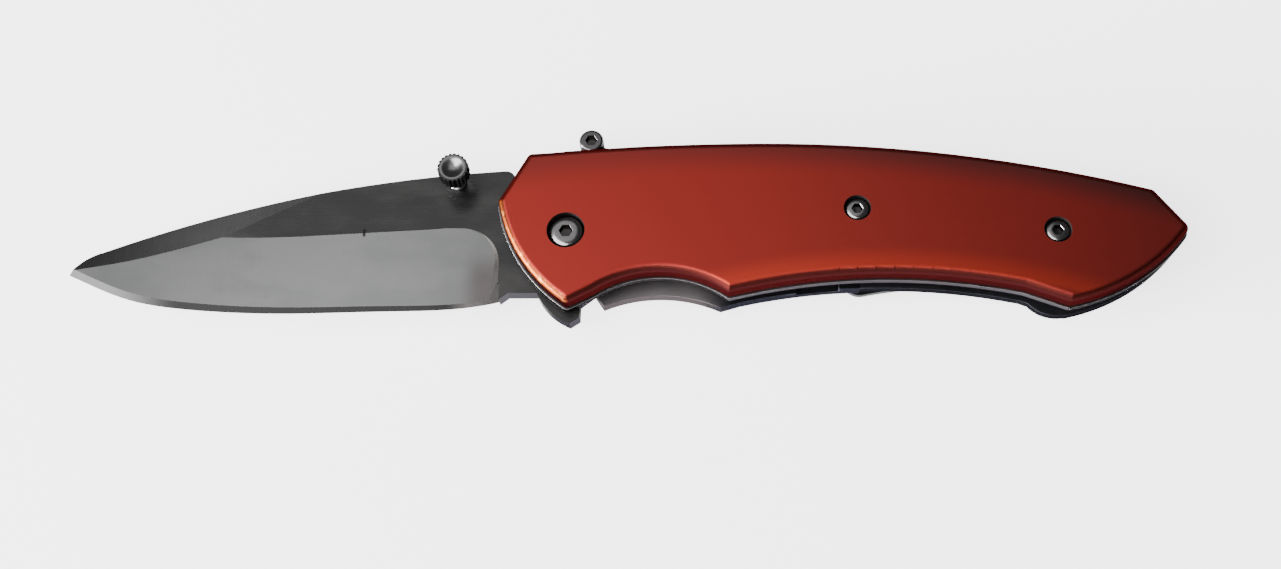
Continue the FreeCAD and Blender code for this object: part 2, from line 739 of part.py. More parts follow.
def pocket_clip():
    """Sprung clip: flat root, raised arm, contact bend and flared lip, tapered in plan."""
    bend, arm, contact = [clip_root - clip_length * share
                          for share in (clip_bend_share, clip_raise_share, clip_contact_share)]
    stations = [(clip_root + overrun, 0), (bend, 0), (arm, clip_stand_off),
                ((arm + contact) / 2, clip_stand_off * clip_arm_share), (contact, clip_gap),
                (clip_end - overrun, clip_lip)]
    sides = []
    for depth in (0, clip_thickness):
        curve = Part.BSplineCurve()
        curve.interpolate([V(x, 0, -drop - depth) for x, drop in stations[1:]])
        root = V(stations[0][0], 0, -depth)
        sides.append((root, curve.StartPoint, curve.EndPoint, curve.toShape()))
    (root_in, start_in, end_in, curve_in), (root_out, start_out, end_out, curve_out) = sides
    edges = [line(root_in, start_in), curve_in, line(end_in, end_out), curve_out,
             line(start_out, root_out), line(root_out, root_in)]
    strip = Part.Face(Part.Wire(Part.__sortEdges__(edges)))
    strip.translate(V(0, clip_height - clip_root_width, 0))
    strip = strip.extrude(V(0, 2 * clip_root_width, 0))
    root_half = clip_root_width / 2
    tip_half = clip_tip_width / 2
    plan = Part.Wire([arc(V(clip_end + tip_half, clip_height - tip_half, 0), V(clip_end, clip_height, 0),
                          V(clip_end + tip_half, clip_height + tip_half, 0)),
                      line(V(clip_end + tip_half, clip_height + tip_half, 0),
                           V(bend, clip_height + root_half, 0)),
                      line(V(bend, clip_height + root_half, 0),
                           V(clip_root, clip_height + root_half, 0)),
                      line(V(clip_root, clip_height + root_half, 0),
                           V(clip_root, clip_height - root_half, 0)),
                      line(V(clip_root, clip_height - root_half, 0),
                           V(bend, clip_height - root_half, 0)),
                      line(V(bend, clip_height - root_half, 0),
                           V(clip_end + tip_half, clip_height - tip_half, 0))])
    solid = strip.common(slab(Part.Face(plan), -clip_stand_off - clip_thickness - overrun, overrun))
    solid.rotate(V(clip_root, clip_height, 0), UP, clip_slant_degrees)
    return solid.cut([clip_hole(place) for place in CLIP_SCREWS])


def clip_screw(place):
    """Low round socket screw that holds the clip."""
    seat = -clip_thickness
    head = rod(place, clip_head_radius, seat - clip_head_height, seat)
    head = head.makeChamfer(clip_head_height / 2, edges_at(head, seat - clip_head_height))
    socket = hexagon_rod(place, clip_head_radius * hex_share, seat - clip_head_height - overrun,
                         seat - clip_head_height * (1 - hex_depth_share))
    return head.fuse(rod(place, flat_thread_radius, seat, flat_thread_roof)).cut(socket)


def scale_screw(place):
    """Small button screw in its recess in the scale, threaded into the liner."""
    return button_screw(place, small_head_radius, small_head_height, scale_roof - small_recess_depth,
                        small_thread_radius, gap_roof)


def liner_screw(place):
    """Countersunk screw through the liner into the spacer, under the scale."""
    return flat_screw(place).mirror(V(0, 0, scale_floor / 2), UP)


def pieces():
    """Every piece of the knife under its name."""
    made = {
        "front_scale": front_scale(),
        "front_liner": front_liner(),
        "frame_plate": frame_plate(),
        "lock_bar": lock_bar(),
        "detent_ball": detent_ball(),
        "blade": blade(),
        "thumb_stud": thumb_stud(),
        "pivot_barrel": pivot_barrel(),
        "pivot_screw": button_screw(PIVOT, pivot_head_radius, pivot_head_height,
                                    scale_roof - pivot_recess_depth, pivot_thread_radius, blade_middle),
        "washer_back": hollow(PIVOT, washer_radius, pivot_radius + running_clearance, gap_floor,
                              gap_floor + washer_thickness),
        "washer_front": hollow(PIVOT, washer_radius, pivot_radius + running_clearance,
                               gap_roof - washer_thickness, gap_roof),
        "stop_pin": rod(STOP, stop_pin_radius, gap_floor - stop_pin_seat, scale_floor),
        "spine_spacer": spine_spacer(),
        "spacer_screw": flat_screw(SPACER_BOSS),
        "safety_slide": safety_slide(),
        "safety_knob": safety_knob(),
        "safety_nut": safety_nut(),
        "pocket_clip": pocket_clip(),
    }
    places = zip(("front", "rear"), GUIDES, CLIP_SCREWS, SCALE_SCREWS, LINER_SCREWS)
    for end, guide, clip, screw, liner in places:
        made["guide_pin_" + end] = rod(guide, guide_pin_radius, gap_floor - stop_pin_seat, scale_floor)
        made["clip_screw_" + end] = clip_screw(clip)
        made["scale_screw_" + end] = scale_screw(screw)
        made["liner_screw_" + end] = liner_screw(liner)
    return made


def main():
    """Builds the pieces, moves them to the bottom middle of their box and writes one file each."""
    made = pieces()
    box = Part.makeCompound(list(made.values())).optimalBoundingBox(False)
    move = V(-box.Center.x, -box.Center.y, -box.ZMin)
    os.makedirs("parts", exist_ok=True)
    for name, shape in made.items():
        shape.translate(move)
        shape.exportStep("parts/" + name + ".step")
    print("box", box.XLength, box.YLength, box.ZLength, "pivot at", move)


main()
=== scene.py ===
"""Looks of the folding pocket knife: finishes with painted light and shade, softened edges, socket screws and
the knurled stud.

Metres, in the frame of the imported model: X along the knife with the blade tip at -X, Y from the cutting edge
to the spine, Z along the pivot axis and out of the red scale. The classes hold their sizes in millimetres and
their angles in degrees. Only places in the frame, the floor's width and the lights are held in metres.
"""
import logging
import math
from dataclasses import dataclass, field
from enum import Enum
from typing import Any, Callable, Sequence, Union

import bmesh
import bpy
from bpy.types import Material, Mesh, Node, NodeSocket, NodeTree, Object
from mathutils import Euler, Matrix, Vector


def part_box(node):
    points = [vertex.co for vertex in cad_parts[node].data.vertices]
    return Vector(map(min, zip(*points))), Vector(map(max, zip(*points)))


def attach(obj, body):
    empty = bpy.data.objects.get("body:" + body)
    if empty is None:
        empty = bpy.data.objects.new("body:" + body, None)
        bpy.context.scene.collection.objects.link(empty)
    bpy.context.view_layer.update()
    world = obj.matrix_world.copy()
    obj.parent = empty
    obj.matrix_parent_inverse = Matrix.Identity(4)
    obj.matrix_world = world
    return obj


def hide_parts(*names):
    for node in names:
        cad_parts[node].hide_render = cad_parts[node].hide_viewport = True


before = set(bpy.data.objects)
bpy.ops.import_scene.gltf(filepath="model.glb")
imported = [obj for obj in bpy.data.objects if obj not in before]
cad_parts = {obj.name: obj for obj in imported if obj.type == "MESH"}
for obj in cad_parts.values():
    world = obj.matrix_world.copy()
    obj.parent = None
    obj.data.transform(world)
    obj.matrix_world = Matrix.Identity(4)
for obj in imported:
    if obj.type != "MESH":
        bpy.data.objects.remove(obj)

logging.basicConfig(level=logging.INFO, format="%(name)s: %(message)s")
LOG = logging.getLogger("knife")

MM = 0.001
SOCKET_MARK = "in_socket"
# Millimetres within which points are one, and degrees within which neighbouring faces are one.
WELD = 0.0005
FLAT_BEND = 0.05
# Degrees past which an edge stays sharp, of a turned piece and of the others, and width of their corners.
TURNED_CREASE = 32.0
CREASE = 28.0
CORNER = 0.10
# Share of a face's normal along Z: past the first it lies level, past the second it is part of a roll.
LEVEL_FACE = 0.9995
ROLL_FACE = 0.02

Colour = tuple[float, float, float]
Stretch = tuple[float, float]
Number = Union[float, "Sock"]
Radius = Union[float, Callable[[float], float]]


class Body(Enum):
    """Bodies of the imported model."""

    HANDLE = "handle"
    BLADE = "blade_body"
    LOCK = "lock_leaf"
    SAFETY = "safety_body"


class Slot(Enum):
    """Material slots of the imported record."""

    SCALE = "red_scale"
    LINER = "liner_steel"
    PLATE = "plate_steel"
    BLADE = "blade_steel"
    STUD = "stud_steel"
    SCREW = "screw_steel"
    SPACER = "spacer_black"
    SLIDE = "slide_steel"
    CLIP = "clip_black"


def even(size: float) -> Vector:
    """Vector with one length along every axis."""
    return Vector((size, size, size))


def starts_at(*values: float) -> Any:
    """Dataclass field that starts as a vector."""
    return field(default_factory=lambda: Vector(values))


def middle(node: str) -> Vector:
    """Middle of a node's box."""
    low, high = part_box(node)
    return (low + high) / 2


class Sock:
    """A shader value that takes part in Python sums."""

    def __init__(self, paint: "Paint", socket: NodeSocket) -> None:
        """Keeps the socket and the material it belongs to."""
        self.paint = paint
        self.socket = socket

    def _sum(self, operation: str, first: Number, second: Number) -> "Sock":
        """Adds one Math node."""
        node = self.paint.node("ShaderNodeMath", {"operation": operation}, {0: first, 1: second})
        return Sock(self.paint, node.outputs[0])

    def __add__(self, other: Number) -> "Sock":
        """Sum."""
        return self._sum("ADD", self, other)

    __radd__ = __add__

    def __sub__(self, other: Number) -> "Sock":
        """Difference."""
        return self._sum("SUBTRACT", self, other)

    def __rsub__(self, other: Number) -> "Sock":
        """Difference from a number."""
        return self._sum("SUBTRACT", other, self)

    def __mul__(self, other: Number) -> "Sock":
        """Product."""
        return self._sum("MULTIPLY", self, other)

    __rmul__ = __mul__

    def __abs__(self) -> "Sock":
        """Size without sign."""
        return self._sum("ABSOLUTE", self, 0.0)

    def above(self, stretch: Stretch, unit: float = 1.0) -> "Sock":
        """Mask that rises smoothly from 0 to 1 along a stretch of values in a unit."""
        node = self.paint.node("ShaderNodeMapRange", {"interpolation_type": "SMOOTHSTEP"}, {
            "Value": self, "From Min": stretch[0] * unit, "From Max": stretch[1] * unit})
        return Sock(self.paint, node.outputs[0])

    def below(self, stretch: Stretch, unit: float = 1.0) -> "Sock":
        """Mask that falls smoothly from 1 to 0 along a stretch of values in a unit."""
        return 1 - self.above(stretch, unit)


class NodeKit:
    """A node tree and the method that fills it."""

    def __init__(self, tree: NodeTree) -> None:
        """Keeps the tree."""
        self.tree = tree

    def node(self, kind: str, settings: dict[str, Any], values: dict[Any, Any]) -> Node:
        """Adds a node.

        Args:
            kind: type of the node.
            settings: attributes, set first.
            values: values or links of its sockets, by name or index.

        Returns:
            The node.
        """
        made = self.tree.nodes.new(kind)
        for key, value in settings.items():
            setattr(made, key, value)
        for key, value in values.items():
            if isinstance(value, Sock):
                value = value.socket
            if isinstance(value, NodeSocket):
                self.tree.links.new(value, made.inputs[key])
            else:
                made.inputs[key].default_value = value
        return made


class Paint(NodeKit):
    """One material with its shader, its coordinates and the nodes behind them."""

    def __init__(self, name: str, metallic: float, roughness: float, glance: float = 1.0) -> None:
        """Makes an empty material.

        Args:
            name: name of the material.
            metallic: metal share of the whole surface.
            roughness: roughness where nothing else is linked.
            glance: strength of the reflection at a grazing angle.
        """
        self.material = bpy.data.materials.new(name)
        self.material.use_nodes = True
        super().__init__(self.material.node_tree)
        self.tree.nodes.clear()
        self.shader = self.node("ShaderNodeBsdfPrincipled", {}, {
            "Metallic": metallic, "Roughness": roughness, "Specular Tint": (glance, glance, glance, 1.0)})
        self.node("ShaderNodeOutputMaterial", {}, {"Surface": self.shader.outputs[0]})
        coordinates = self.node("ShaderNodeTexCoord", {}, {})
        self.place = coordinates.outputs["Object"]
        self.facing = coordinates.outputs["Normal"]

    def split(self, vector: NodeSocket) -> list[Sock]:
        """Parts of a vector along X, Y and Z."""
        node = self.node("ShaderNodeSeparateXYZ", {}, {0: vector})
        return [Sock(self, part) for part in node.outputs]

    def noise(self, grain: Vector, detail: float = 3.0) -> Sock:
        """Noise whose grain has its own length along each axis.

        Args:
            grain: length of the grain along X, Y and Z in millimetres.
            detail: layers of finer grain.

        Returns:
            The noise from 0 to 1.
        """
        fitted = self.node("ShaderNodeMapping", {"vector_type": "POINT"}, {
            "Vector": self.place, "Scale": Vector((1 / (size * MM) for size in grain))})
        node = self.node("ShaderNodeTexNoise", {}, {
            "Vector": fitted.outputs[0], "Scale": 1.0, "Detail": detail})
        return Sock(self, node.outputs["Fac"])

    def distance(self, centre: Vector) -> Sock:
        """Distance from an upright axis.

        Args:
            centre: point on the axis.

        Returns:
            The distance.
        """
        flat = self.node("ShaderNodeVectorMath", {"operation": "MULTIPLY"}, {0: self.place, 1: (1, 1, 0)})
        node = self.node("ShaderNodeVectorMath", {"operation": "DISTANCE"}, {
            0: flat.outputs[0], 1: (centre.x, centre.y, 0)})
        return Sock(self, node.outputs["Value"])

    def layers(self, colour: Any, *upper: tuple[Sock, Any]) -> NodeSocket:
        """Lays colours over one another.

        Args:
            colour: lowest colour, or the result of other layers.
            upper: mask and colour of each layer above it, from the lowest.

        Returns:
            The colour.
        """
        for mask, other in upper:
            pair = [c if isinstance(c, NodeSocket) else (*c, 1.0) for c in (colour, other)]
            # A Mix node has its colours at inputs 6 and 7 and its result at output 2.
            node = self.node("ShaderNodeMix", {"data_type": "RGBA", "clamp_factor": True}, {
                0: mask, 6: pair[0], 7: pair[1]})
            colour = node.outputs[2]
        return colour

    def uneven(self, roughness: float, *noises: tuple[Sock, float]) -> Sock:
        """Roughness that noises raise and lower about its middle.

        Args:
            roughness: middle roughness.
            noises: each noise and what it adds from its lowest to its highest.

        Returns:
            The roughness.
        """
        total: Number = roughness - sum(share for _, share in noises) / 2
        for noise, share in noises:
            total = noise * share + total
        return total

    def link_surface(self, colour: NodeSocket, roughness: Sock | None = None, height: Sock | None = None,
             depth: float = 0.0) -> None:
        """Links what changes over the surface.

        Args:
            colour: base colour.
            roughness: roughness.
            height: relief from 0 to 1.
            depth: depth of the relief in millimetres.
        """
        self.tree.links.new(colour, self.shader.inputs["Base Color"])
        if roughness is not None:
            self.tree.links.new(roughness.socket, self.shader.inputs["Roughness"])
        if height is not None:
            bump = self.node("ShaderNodeBump", {}, {
                "Height": height, "Distance": depth * MM, "Strength": 1.0})
            self.tree.links.new(bump.outputs[0], self.shader.inputs["Normal"])


@dataclass(frozen=True)
class Well:
    """Round recess for a screw head, with its centre in the frame."""

    centre: Vector
    radius: float


@dataclass(frozen=True)
class AnodisedScaleWithPaintedLight:
    """Satin anodised aluminium with painted light: a painted highlight along the belly, painted shade along
    the spine, the butt and the roll, and a painted glint round the nose.
    """

    bright: Colour = (0.49, 0.052, 0.041)
    deep: Colour = (0.41, 0.044, 0.037)
    # Painted shade on the roll and the side walls.
    roll: Colour = (0.078, 0.014, 0.012)
    side: Colour = (0.044, 0.0095, 0.0100)
    # Painted glint round the nose, with hot specks.
    nose: Colour = (0.20, 0.046, 0.012)
    nose_glint_hot: Colour = (0.36, 0.135, 0.040)
    # Painted highlight along the belly, and painted shade along the spine, the rear and the butt.
    belly: Colour = (0.80, 0.078, 0.040)
    spine: Colour = (0.150, 0.043, 0.040)
    # Painted shade in the screw wells.
    recess: Colour = (0.045, 0.038, 0.037)
    metallic: float = 1.0
    roughness: float = 0.38
    glance: float = 0.3
    grain: float = 0.12
    relief: float = 0.006
    cloud: Vector = starts_at(38, 24, 24)
    speck: Vector = starts_at(0.9, 1.2, 0.6)
    # Arcs of the belly and of the spine, their centres from the pivot.
    belly_centre: Vector = starts_at(52.13, -110.16, 0)
    belly_radius: float = 102.79
    spine_centre: Vector = starts_at(31.38, -218.8, 0)
    spine_radius: float = 234.8
    # Distances in from these arcs, and how strong the painted highlight and the painted shade are.
    belly_rise: Stretch = (0.2, 1.3)
    belly_fall: Stretch = (1.0, 5.0)
    belly_share: float = 0.65
    spine_fall: Stretch = (0.0, 6.5)
    spine_share: float = 0.48
    spine_rear_share: float = 0.35
    # Distances from the pivot along X, over which painted shade darkens the rear and the butt and the painted
    # nose glint ends.
    rear: Stretch = (-10.0, 70.0)
    rear_share: float = 0.14
    butt: Stretch = (74.0, 104.0)
    butt_share: float = 0.22
    nose_end: Stretch = (0.0, 2.0)
    # Where the nose faces, and how far a face leans to take its painted glint.
    nose_facing: Vector = starts_at(-0.81, -0.59, 0)
    nose_lean: Stretch = (0.22, 0.45)
    nose_upper: Stretch = (0.02, 0.15)
    glint_speck: Stretch = (0.52, 0.66)
    # Shares of the normal along Z, from the flat face down the roll to the wall, where painted shade darkens
    # them.
    roll_lean: Stretch = (0.88, 1.003)
    side_lean: Stretch = (0.45, 0.85)
    wall_lean: Stretch = (0.25, 0.55)
    rough_lean: Stretch = (0.80, 0.985)
    well_edge: float = 0.05
    # What each adds to the roughness.
    grain_rough: float = 0.10
    cloud_rough: float = 0.06
    well_rough: float = 0.30
    roll_rough: float = 0.12
    nose_rough: float = -0.14

    def material(self, wells: Sequence[Well]) -> Material:
        """Makes the material.

        Args:
            wells: recesses that take painted shade.

        Returns:
            The material.
        """
        paint = Paint("anodised_red", self.metallic, self.roughness, self.glance)
        cloud = paint.noise(self.cloud, detail=2.0)
        grain = paint.noise(even(self.grain))
        length, height, out = paint.split(paint.facing)
        lean = abs(out)
        pivot = middle("pivot_barrel")
        from_pivot = paint.split(paint.place)[0] - pivot.x
        # Mask of the painted glint round the nose.
        nose_glint_mask = (length * self.nose_facing.x + height * self.nose_facing.y).above(self.nose_lean)
        nose_glint_mask = nose_glint_mask * height.below(self.nose_upper) * from_pivot.below(self.nose_end, MM)
        colour = paint.layers(self.bright, (cloud, self.deep))
        colour = self.painted_light_and_shade(paint, colour, pivot, from_pivot)
        glint = paint.layers(self.nose, (paint.noise(self.speck).above(self.glint_speck), self.nose_glint_hot))
        # Mask of the screw wells, which take painted shade.
        dark: Number = 0.0
        for well in wells:
            dark = paint.distance(well.centre).below((well.radius, well.radius + self.well_edge), MM) + dark
        # Painted shade on the roll and the walls, the painted nose glint, and painted shade in the wells.
        colour = paint.layers(
            colour, (lean.below(self.roll_lean) * (1 - nose_glint_mask), self.roll), (nose_glint_mask, glint),
            (lean.below(self.side_lean) * (1 - nose_glint_mask), self.side), (lean.below(self.wall_lean), self.side),
            (dark, self.recess))
        roughness = paint.uneven(self.roughness, (grain, self.grain_rough), (cloud, self.cloud_rough))
        roughness = roughness + dark * self.well_rough + nose_glint_mask * self.nose_rough
        roughness = roughness + lean.below(self.rough_lean) * self.roll_rough
        paint.link_surface(colour, roughness, grain, self.relief)
        return paint.material

    def painted_light_and_shade(self, paint: Paint, colour: NodeSocket, pivot: Vector, from_pivot: Sock) -> NodeSocket:
        """Paints a highlight along the belly and paints shade along the spine, the rear and the butt.

        Args:
            paint: the material.
            colour: colour so far.
            pivot: middle of the pivot.
            from_pivot: distance from the pivot along X.

        Returns:
            The colour.
        """
        from_belly = paint.distance(pivot + self.belly_centre * MM) - self.belly_radius * MM
        belly_highlight = from_belly.above(self.belly_rise, MM) * from_belly.below(self.belly_fall, MM)
        from_spine = self.spine_radius * MM - paint.distance(pivot + self.spine_centre * MM)
        rear = from_pivot.above(self.rear, MM)
        shade = from_spine.below(self.spine_fall, MM) * (rear * self.spine_rear_share + self.spine_share)
        shade = shade + rear * self.rear_share + from_pivot.above(self.butt, MM) * self.butt_share
        return paint.layers(colour, (belly_highlight * self.belly_share, self.belly), (shade, self.spine))


@dataclass(frozen=True)
class SteelFinish:
    """Steel with fine lines along one direction and faint handling marks; where given, painted shade on its
    side walls and in its sockets, and painted light and shade on its inner face.
    """

    name: str
    light: Colour
    dark: Colour
    roughness: float
    lines: Vector = starts_at(9.0, 0.09, 0.09)
    relief: float = 0.002
    metallic: float = 1.0
    glance: float = 0.2
    mark_size: float = 7.0
    line_share: float = 0.6
    line_rough: float = 0.12
    mark_rough: float = 0.16
    # Painted shade on the side walls, and another painted shade past a distance from the pivot along X.
    side: Colour | None = None
    side_until: float = 200.0
    side_fade: float = 3.0
    side_shade_after: Colour = (0.0, 0.0, 0.0)
    side_lean: Stretch = (0.12, 0.35)
    # Painted light and shade on the face towards the scale, and painted shade in the sockets.
    inside_light_and_shade: Colour | None = None
    socket: Colour | None = None

    def material(self) -> Material:
        """Makes the material.

        Returns:
            The material.
        """
        paint = Paint(self.name, self.metallic, self.roughness, self.glance)
        lines = paint.noise(self.lines, detail=2.0)
        marks = paint.noise(even(self.mark_size), detail=4.0)
        share = lines * self.line_share + marks * (1 - self.line_share)
        colour = paint.layers(self.light, (share, self.dark))
        if self.side is not None:
            colour = self.walls(paint, colour)
        # Painted shade in the hex sockets.
        if self.socket is not None:
            mark = paint.node("ShaderNodeAttribute", {"attribute_name": SOCKET_MARK}, {})
            colour = paint.layers(colour, (Sock(paint, mark.outputs["Fac"]), self.socket))
        roughness = paint.uneven(self.roughness, (lines, self.line_rough), (marks, self.mark_rough))
        paint.link_surface(colour, roughness, lines, self.relief)
        return paint.material

    def walls(self, paint: Paint, colour: NodeSocket) -> NodeSocket:
        """Paints shade on the side walls and painted light and shade on the inner face.

        Args:
            paint: the material.
            colour: colour so far.

        Returns:
            The colour.
        """
        out = paint.split(paint.facing)[2]
        turn = middle("pivot_barrel").x + self.side_until * MM
        past = (paint.split(paint.place)[0] - turn).above((-self.side_fade, self.side_fade), MM)
        walls = paint.layers(self.side, (past, self.side_shade_after))
        colour = paint.layers(colour, (abs(out).below(self.side_lean), walls))
        if self.inside_light_and_shade is None:
            return colour
        inside_light_and_shade = paint.layers(self.inside_light_and_shade, (past, self.side_shade_after))
        return paint.layers(colour, (out.above(self.side_lean), inside_light_and_shade))


@dataclass(frozen=True)
class BlackFinish:
    """Black moulded or coated surface with a fine grain and dusty patches."""

    name: str
    black: Colour = (0.004, 0.004, 0.005)
    dusty: Colour = (0.012, 0.012, 0.014)
    roughness: float = 0.42
    metallic: float = 0.0
    gloss: float = 0.06
    grain: float = 0.15
    relief: float = 0.008
    dust_size: float = 9.0
    dust: Stretch = (0.35, 0.75)
    grain_rough: float = 0.14
    dust_rough: float = 0.12

    def material(self) -> Material:
        """Makes the material.

        Returns:
            The material.
        """
        paint = Paint(self.name, self.metallic, self.roughness)
        paint.shader.inputs["Specular IOR Level"].default_value = self.gloss
        grain = paint.noise(even(self.grain), detail=2.0)
        dust = paint.noise(even(self.dust_size), detail=4.0)
        colour = paint.layers(self.black, (dust.above(self.dust), self.dusty))
        roughness = paint.uneven(self.roughness, (grain, self.grain_rough), (dust, self.dust_rough))
        paint.link_surface(colour, roughness, grain, self.relief)
        return paint.material


@dataclass(frozen=True)
class BladeWithPaintedReflections:
    """Polished blade steel with painted reflections: painted dark flats, painted bright main grind and swedge,
    painted dark bevel, told apart by how far they lean.
    """

    # Painted dark reflection on the flats, with random smudges.
    flat: Colour = (0.068, 0.068, 0.068)
    flat_smudge: Colour = (0.105, 0.102, 0.10)
    # Painted bright reflection on the main grind with random mottling, painted shade towards the tip, darker
    # at the lower end by the plunge.
    ground: Colour = (0.250, 0.252, 0.250)
    ground_shade: Colour = (0.180, 0.182, 0.184)
    ground_tip: Colour = (0.045, 0.046, 0.046)
    ground_end: Colour = (0.14, 0.129, 0.126)
    # Painted reflection on the swedge, with painted shade towards the tip.
    swedge: Colour = (0.20, 0.20, 0.20)
    swedge_tip: Colour = (0.065, 0.065, 0.065)
    # Painted dark reflection on the bevel, with painted light towards the tip and near the heel.
    bevel: Colour = (0.014, 0.014, 0.014)
    bevel_tip: Colour = (0.09, 0.09, 0.09)
    bevel_end: Colour = (0.070, 0.066, 0.065)
    # Painted shade on the plunge, lighter at its lower end, and the painted tone of the steep faces.
    plunge: Colour = (0.030, 0.028, 0.027)
    plunge_low: Colour = (0.052, 0.048, 0.047)
    rim: Colour = (0.11, 0.106, 0.115)
    nick: Colour = (0.03, 0.03, 0.03)
    metallic: float = 1.0
    roughness: float = 0.27
    glance: float = 0.2
    relief: float = 0.0012
    # Shares of the normal along Z, from the flat to the plunge, which pick each facet's painted reflection,
    # and the plunge's share towards the tip.
    flat_lean: Stretch = (0.9986, 0.9992)
    ground_lean: Stretch = (0.9940, 0.9948)
    swedge_lean: Stretch = (0.984, 0.987)
    bevel_lean: Stretch = (0.885, 0.905)
    plunge_lean: Stretch = (0.55, 0.62)
    plunge_facing: Stretch = (0.03, 0.08)
    # Sizes of the smudges and of the polishing lines.
    smudge: Vector = starts_at(13, 6, 6)
    flat_lines: Vector = starts_at(14, 0.12, 0.5)
    ground_lines: Vector = starts_at(0.16, 11, 0.5)
    flat_cloud: Stretch = (0.42, 0.72)
    flat_cloud_share: float = 0.8
    ground_cloud: Stretch = (0.36, 0.66)
    ground_cloud_share: float = 0.6
    ground_line_share: float = 0.3
    # Distances from the nick along X, then along Y, over which the painted light and shade change, and the
    # nick's own half sizes.
    ground_tip_fall: Stretch = (-52.0, 10.0)
    ground_tip_share: float = 0.75
    ground_end_rise: Stretch = (16.0, 20.0)
    swedge_tip_fall: Stretch = (-50.0, -18.0)
    bevel_tip_fall: Stretch = (-44.0, -30.0)
    bevel_end_rise: Stretch = (14.0, 19.0)
    plunge_rise: Stretch = (12.0, 14.0)
    plunge_fall: Stretch = (23.0, 25.0)
    lower_fall: Stretch = (-8.0, -2.0)
    nick_width: Stretch = (0.12, 0.34)
    nick_height: Stretch = (0.4, 0.9)
    # What each adds to the roughness.
    smudge_rough: float = 0.12
    line_rough: float = 0.10
    ground_rough: float = 0.10
    plunge_rough: float = 0.25

    def material(self, nick: Vector) -> Material:
        """Makes the material.

        Args:
            nick: place of the small mark at the top of the grind.

        Returns:
            The material.
        """
        paint = Paint("ground_blade_steel", self.metallic, self.roughness, self.glance)
        length, _, out = paint.split(paint.facing)
        lean = abs(out)
        x, y, _ = paint.split(paint.place)
        x = x - nick.x
        y = y - nick.y
        on_flat = lean.above(self.flat_lean)
        on_ground = lean.above(self.ground_lean)
        on_plunge = (0 - length).above(self.plunge_facing)
        on_plunge = on_plunge * x.above(self.plunge_rise, MM) * x.below(self.plunge_fall, MM)
        lower = y.below(self.lower_fall, MM)
        smudge = paint.noise(self.smudge, detail=4.0)
        along = paint.noise(self.flat_lines, detail=2.0)
        upright = paint.noise(self.ground_lines, detail=2.0)
        cloud = smudge.above(self.flat_cloud) * self.flat_cloud_share + along * (1 - self.flat_cloud_share)
        flat = paint.layers(self.flat, (cloud, self.flat_smudge))
        cloud = smudge.above(self.ground_cloud) * self.ground_cloud_share + upright * self.ground_line_share
        tipward = x.below(self.ground_tip_fall, MM) * self.ground_tip_share
        ground = paint.layers(self.ground, (cloud, self.ground_shade), (tipward, self.ground_tip),
                              (x.above(self.ground_end_rise, MM) * lower, self.ground_end))
        bevel = paint.layers(self.bevel, (x.below(self.bevel_tip_fall, MM), self.bevel_tip),
                             (x.above(self.bevel_end_rise, MM), self.bevel_end))
        swedge = paint.layers(self.swedge, (x.below(self.swedge_tip_fall, MM), self.swedge_tip))
        plunge = paint.layers(self.plunge, (lower, self.plunge_low))
        on_nick = abs(x).below(self.nick_width, MM) * abs(y).below(self.nick_height, MM)
        # Each facet takes its painted reflection by how far it leans.
        colour = paint.layers(
            self.rim, (lean.above(self.plunge_lean), self.plunge), (lean.above(self.bevel_lean), bevel),
            (lean.above(self.swedge_lean), swedge), (on_ground, ground), (on_flat, flat), (on_plunge, plunge),
            (on_nick, self.nick))
        lines = upright * (1 - on_flat) + along * on_flat
        roughness = paint.uneven(self.roughness, (smudge, self.smudge_rough), (lines, self.line_rough))
        roughness = roughness + on_ground * (1 - on_flat) * self.ground_rough + on_plunge * self.plunge_rough
        paint.link_surface(colour, roughness, lines, self.relief)
        return paint.material


# Painted shade in the hex sockets of the screws and the knob.
SOCKET_SHADE = (0.075, 0.070, 0.069)
# Lean that counts broken corners among the walls that take painted shade, and end of the finger recess from
# the pivot along X, where the painted wall shade changes.
BROKEN_CORNERS = (0.75, 0.95)
RECESS_END = 24.0

# Painted shade on the walls of the liner, the lock plate and the lock leaf; painted light on the lock leaf's
# inner face and painted shade on the lock plate's.
LINER_STEEL = SteelFinish("liner_sheet_steel", (0.30, 0.293, 0.30), (0.21, 0.203, 0.213), 0.30, glance=0.0,
                          side=(0.078, 0.074, 0.076), side_until=RECESS_END,
                          side_shade_after=(0.138, 0.132, 0.140))
PLATE_STEEL = SteelFinish("lock_plate_steel", (0.24, 0.235, 0.25), (0.15, 0.147, 0.16), 0.33, glance=0.0,
                          side=(0.040, 0.040, 0.047), side_lean=BROKEN_CORNERS,
                          inside_light_and_shade=(0.075, 0.075, 0.087))
LEAF_STEEL = SteelFinish("lock_leaf_steel", (0.26, 0.245, 0.25), (0.17, 0.16, 0.165), 0.36,
                         side=(0.115, 0.104, 0.107), side_until=RECESS_END, side_shade_after=(0.040, 0.040, 0.050),
                         side_lean=BROKEN_CORNERS, inside_light_and_shade=(0.31, 0.285, 0.29))
SCREW_STEEL = SteelFinish("socket_screw_steel", (0.36, 0.347, 0.35), (0.20, 0.193, 0.195), 0.22, even(0.5),
                          socket=SOCKET_SHADE)
STUD_STEEL = SteelFinish("turned_stud_steel", (0.36, 0.36, 0.36), (0.20, 0.20, 0.20), 0.26, even(0.3))
